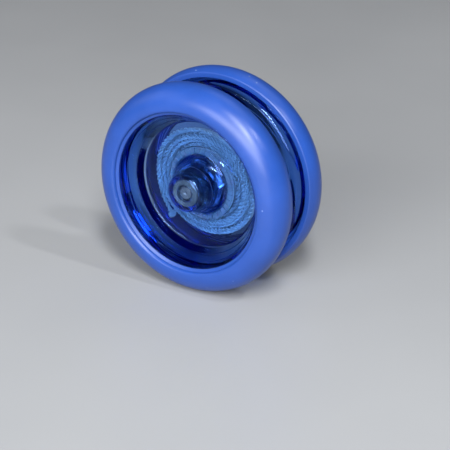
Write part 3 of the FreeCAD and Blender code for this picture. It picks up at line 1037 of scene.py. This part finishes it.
def winding_route(sizes):
    """Control points of the string's line: turns laid in layers across the gap, then out to the knot."""
    points_per_turn = 16
    long_way = math.radians(153.7)
    start_radius = BEARING_RADIUS + sizes.diameter / 2
    long_radius = 0.0147
    short_radius = 0.0132
    layers = sizes.turns / sizes.layer_turns
    top_layer = layers - 0.75
    lane = WINDING_HIGH.y - sizes.diameter / 2
    knot = (KNOT_LOW + KNOT_HIGH) / 2
    knot_turn = math.atan2(knot.z, knot.x)
    last_turn = knot_turn - math.radians(40)
    first_turn = last_turn - sizes.turns * math.tau
    points = []
    for index in range(sizes.turns * points_per_turn + 1):
        turned = index / points_per_turn
        layer = int(turned // sizes.layer_turns)
        within = turned - layer * sizes.layer_turns
        crossing = min(within, sizes.layer_turns - 1)
        climb = layer + within - crossing
        share = min(climb, top_layer) / (layers - 1)
        angle = first_turn + turned * math.tau
        long_side = start_radius + (long_radius - start_radius) * share
        short_side = start_radius + (short_radius - start_radius) * share
        radius = long_side * short_side / math.hypot(
            short_side * math.cos(angle - long_way), long_side * math.sin(angle - long_way))
        wander = sizes.wander * min(1.0, share * 3)
        radius += wander * noise.noise(Vector((turned * 2.3, 4.1, 0.7)))
        swing = 2 * crossing / (sizes.layer_turns - 1) - 1
        if layer % 2:
            swing = -swing
        across = lane * swing + wander * noise.noise(Vector((turned * 3.1, 0.4, 9.2)))
        across = max(-lane, min(lane, across))
        points.append(Vector((radius * math.cos(angle), across, radius * math.sin(angle))))
    last = points[-1]
    last_radius = math.hypot(last.x, last.z)
    knot_radius = math.hypot(knot.x, knot.z)
    steps = 4
    for step in range(1, steps):
        share = step / steps
        angle = last_turn + math.radians(34) * share
        radius = last_radius + (knot_radius - last_radius) * share ** 1.5
        points.append(Vector((radius * math.cos(angle), last.y * (1 - share), radius * math.sin(angle))))
    points.append(knot + Vector((math.sin(knot_turn), 0, -math.cos(knot_turn))) * 0.0006)
    return points


def follow(name, points):
    """Points along the smooth line that has these control points."""
    curve = bpy.data.curves.new(name, "CURVE")
    curve.dimensions = "3D"
    curve.resolution_u = 5
    line = curve.splines.new("NURBS")
    line.points.add(len(points) - 1)
    for point, place in zip(line.points, points):
        point.co = (*place, 1)
    line.order_u = 3
    line.use_endpoint_u = True
    guide = bpy.data.objects.new(name, curve)
    bpy.context.scene.collection.objects.link(guide)
    bpy.context.view_layer.update()
    mesh = bpy.data.meshes.new_from_object(guide)
    places = [corner.co.copy() for corner in mesh.vertices]
    bpy.data.objects.remove(guide)
    bpy.data.curves.remove(curve)
    bpy.data.meshes.remove(mesh)
    return places


def even_steps(places, step):
    """The same line as points an even distance apart."""
    lengths = [0.0]
    for before, after in zip(places, places[1:]):
        lengths.append(lengths[-1] + (after - before).length)
    count = max(2, round(lengths[-1] / step))
    result = []
    index = 0
    for number in range(count + 1):
        wanted = lengths[-1] * number / count
        while index < len(places) - 2 and lengths[index + 1] < wanted:
            index += 1
        span = lengths[index + 1] - lengths[index]
        share = (wanted - lengths[index]) / span if span > 0 else 0.0
        result.append(places[index].lerp(places[index + 1], min(1.0, share)))
    return result


def twisted(name, places, plies, offset, ply_radius, pitch, step=0.0005):
    """A twisted strand along a line: its plies turn about it, each a closed tube with a fibre UV map."""
    sides = 9
    line = even_steps(places, step)
    step = sum((after - before).length for before, after in zip(line, line[1:])) / (len(line) - 1)
    tangents = [(line[min(index + 1, len(line) - 1)] - line[max(index - 1, 0)]).normalized()
                for index in range(len(line))]
    across = tangents[0].orthogonal().normalized()
    corners, faces, lays = [], [], []
    frames = []
    for tangent in tangents:
        across = (across - tangent * across.dot(tangent)).normalized()
        frames.append((across, tangent.cross(across)))
    for ply in range(plies):
        first = len(corners)
        for index, (place, tangent, (side, up)) in enumerate(zip(line, tangents, frames)):
            turn = math.tau * (index * step / pitch + ply / plies)
            outward = side * math.cos(turn) + up * math.sin(turn)
            round_way = up * math.cos(turn) - side * math.sin(turn)
            along = (tangent * pitch + round_way * math.tau * offset).normalized()
            level = along.cross(outward)
            centre = place + outward * offset
            for number in range(sides):
                angle = math.tau * number / sides
                corners.append(centre + (outward * math.cos(angle) + level * math.sin(angle)) * ply_radius)
        for index in range(len(line) - 1):
            for number in range(sides):
                beside = (number + 1) % sides
                low, high = first + index * sides, first + (index + 1) * sides
                faces.append((low + number, low + beside, high + beside, high + number))
                left, right = number / sides, (number + 1) / sides
                near, far = index * step / pitch, (index + 1) * step / pitch
                lays += [(left, near), (right, near), (right, far), (left, far)]
        for end, ring in ((0, first), (1, first + (len(line) - 1) * sides)):
            cap = [ring + number for number in range(sides)]
            faces.append(tuple(cap if end else reversed(cap)))
            lays += [(number / sides, end * len(line) * step / pitch) for number in range(sides)]
    mesh = bpy.data.meshes.new(name)
    mesh.from_pydata([tuple(corner) for corner in corners], [], faces)
    layer = mesh.uv_layers.new(name="lay")
    for entry, place in zip(layer.data, lays):
        entry.uv = place
    piece = bpy.data.objects.new(name, mesh)
    bpy.context.scene.collection.objects.link(piece)
    edit(piece)
    bpy.ops.mesh.select_all(action="SELECT")
    bpy.ops.mesh.normals_make_consistent(inside=False)
    leave_edit()
    smooth(piece, 60)
    return piece


class YOYO_OT_string(Operator):
    """Wind the twisted string round the bearing and tie its end"""

    bl_idname = "yoyo.string"
    bl_label = "String and knot"

    def execute(self, context):
        sizes = context.scene.yoyo_string
        material = cotton()
        path = follow("string_line", winding_route(sizes))
        plies = 2
        offset = sizes.diameter / 4
        winding = twisted("string", path, plies, offset, sizes.diameter / 2 - offset, sizes.lay_pitch)
        centre = (KNOT_LOW + KNOT_HIGH) / 2
        turn = math.atan2(centre.z, centre.x)
        scale = 0.00033
        depth = scale * 1.3
        steps = 36
        open_share = 0.06
        loops = []
        for index in range(steps + 1):
            angle = math.tau * (index / steps * (1 - open_share) + open_share / 2)
            loops.append(Vector((
                (math.sin(angle) + 2 * math.sin(2 * angle)) * scale,
                -math.sin(3 * angle) * depth,
                (math.cos(angle) - 2 * math.cos(2 * angle)) * scale)))
        spin = Matrix.Rotation(-turn, 3, "Y")
        tied = follow("knot_line", [centre + spin @ loop for loop in loops])
        knot = twisted(
            "tied_end", tied, plies, offset=0.00021, ply_radius=0.00023, pitch=0.0022, step=0.0003)
        fit(winding, "bearing_outer", "string_cotton", material, "string_winding")
        fit(knot, "bearing_outer", "string_cotton", material, "string_knot")
        return {"FINISHED"}


# ---------------------------------------------------------------- studio


def direction(turn, rise):
    """Unit vector from the yo-yo: turned from the front towards +X, and raised."""
    return Vector((math.sin(turn) * math.cos(rise), -math.cos(turn) * math.cos(rise), math.sin(rise)))


def soft_box(name, power, turn, rise, distance, size):
    """A rectangular light of this width and height that faces the yo-yo, with its angles in degrees."""
    deselect()
    place = direction(math.radians(turn), math.radians(rise)) * distance
    bpy.ops.object.light_add(type="AREA", location=place)
    lamp = bpy.context.object
    lamp.name = name
    lamp.data.shape = "RECTANGLE"
    lamp.data.size, lamp.data.size_y = size
    lamp.data.energy = power
    lamp.rotation_euler = place.to_track_quat("Z", "Y").to_euler()


class YOYO_OT_stage(Operator):
    """Set the camera, the soft lights and the pale floor"""

    bl_idname = "yoyo.stage"
    bl_label = "Stage"

    def execute(self, context):
        studio = context.scene.yoyo_studio
        floor_width = 4
        deselect()
        bpy.ops.mesh.primitive_plane_add(size=floor_width, location=(0, 0, CAD_BOX[0][2]))
        floor = begin("floor")
        floor.data.materials.append(pale_floor())

        toward = direction(studio.camera_turn, studio.camera_rise)
        right = Vector((math.cos(studio.camera_turn), math.sin(studio.camera_turn), 0))
        up = toward.cross(right)
        aim = right * studio.aim_right - up * studio.aim_down
        place = toward * studio.camera_distance
        bpy.ops.object.camera_add(location=place)
        camera = context.object
        camera.name = "camera"
        camera.rotation_euler = (place - aim).to_track_quat("Z", "Y").to_euler()
        camera.data.lens = studio.lens
        camera.data.sensor_width = 36
        camera.data.clip_start = 0.01
        context.scene.camera = camera

        soft_box("key_light", studio.key_power, turn=38, rise=47, distance=0.85, size=(0.11, 0.40))
        soft_box("front_light", studio.front_power, turn=10, rise=22, distance=0.95, size=(0.95, 0.42))
        soft_box("fill_light", studio.fill_power, turn=-65, rise=30, distance=0.9, size=(0.6, 0.5))
        soft_box("back_light", studio.back_power, turn=170, rise=60, distance=0.9, size=(0.6, 0.4))
        soft_box("sparkle_light", studio.sparkle_power, turn=84, rise=50, distance=0.6, size=(0.03, 0.05))

        world = bpy.data.worlds.new("room")
        world.use_nodes = True
        shell = next(item for item in world.node_tree.nodes if item.type == "BACKGROUND")
        shell.inputs["Color"].default_value = (0.92, 0.95, 1.0, 1)
        shell.inputs["Strength"].default_value = studio.world_light
        context.scene.world = world

        context.scene.view_settings.view_transform = "Standard"
        cycles = context.scene.cycles
        cycles.max_bounces = 16
        cycles.transmission_bounces = 16
        cycles.glossy_bounces = 8
        cycles.diffuse_bounces = 4
        return {"FINISHED"}


# ---------------------------------------------------------------- add-on


OPERATORS = (
    YOYO_OT_clear_halves,
    YOYO_OT_rims,
    YOYO_OT_response_rings,
    YOYO_OT_inserts,
    YOYO_OT_axle,
    YOYO_OT_spacers,
    YOYO_OT_bearing,
    YOYO_OT_string,
    YOYO_OT_stage,
)


class YOYO_PT_parts(Panel):
    """The yo-yo's pieces and their sizes"""

    bl_label = "Yo-yo"
    bl_idname = "YOYO_PT_parts"
    bl_space_type = "VIEW_3D"
    bl_region_type = "UI"
    bl_category = "Yo-yo"

    def draw(self, context):
        for operator in OPERATORS:
            self.layout.operator(operator.bl_idname)
        for name in SETTINGS:
            group = getattr(context.scene, name)
            box = self.layout.box()
            for key in group.__annotations__:
                box.prop(group, key)


SETTINGS = {
    "yoyo_clear_half": ClearHalfSizes,
    "yoyo_rim": RimSizes,
    "yoyo_metal": MetalSizes,
    "yoyo_string": StringSizes,
    "yoyo_studio": StudioSettings,
}


def register():
    for group in SETTINGS.values():
        bpy.utils.register_class(group)
    for operator in OPERATORS:
        bpy.utils.register_class(operator)
    bpy.utils.register_class(YOYO_PT_parts)
    for name, group in SETTINGS.items():
        setattr(bpy.types.Scene, name, PointerProperty(type=group))


def unregister():
    for name in SETTINGS:
        delattr(bpy.types.Scene, name)
    bpy.utils.unregister_class(YOYO_PT_parts)
    for operator in reversed(OPERATORS):
        bpy.utils.unregister_class(operator)
    for group in reversed(list(SETTINGS.values())):
        bpy.utils.unregister_class(group)


def main():
    register()
    bpy.ops.yoyo.clear_halves()
    bpy.ops.yoyo.rims()
    bpy.ops.yoyo.response_rings()
    bpy.ops.yoyo.inserts()
    bpy.ops.yoyo.axle()
    bpy.ops.yoyo.spacers()
    bpy.ops.yoyo.bearing()
    bpy.ops.yoyo.string()
    bpy.ops.yoyo.stage()


if __name__ == "__main__":
    main()
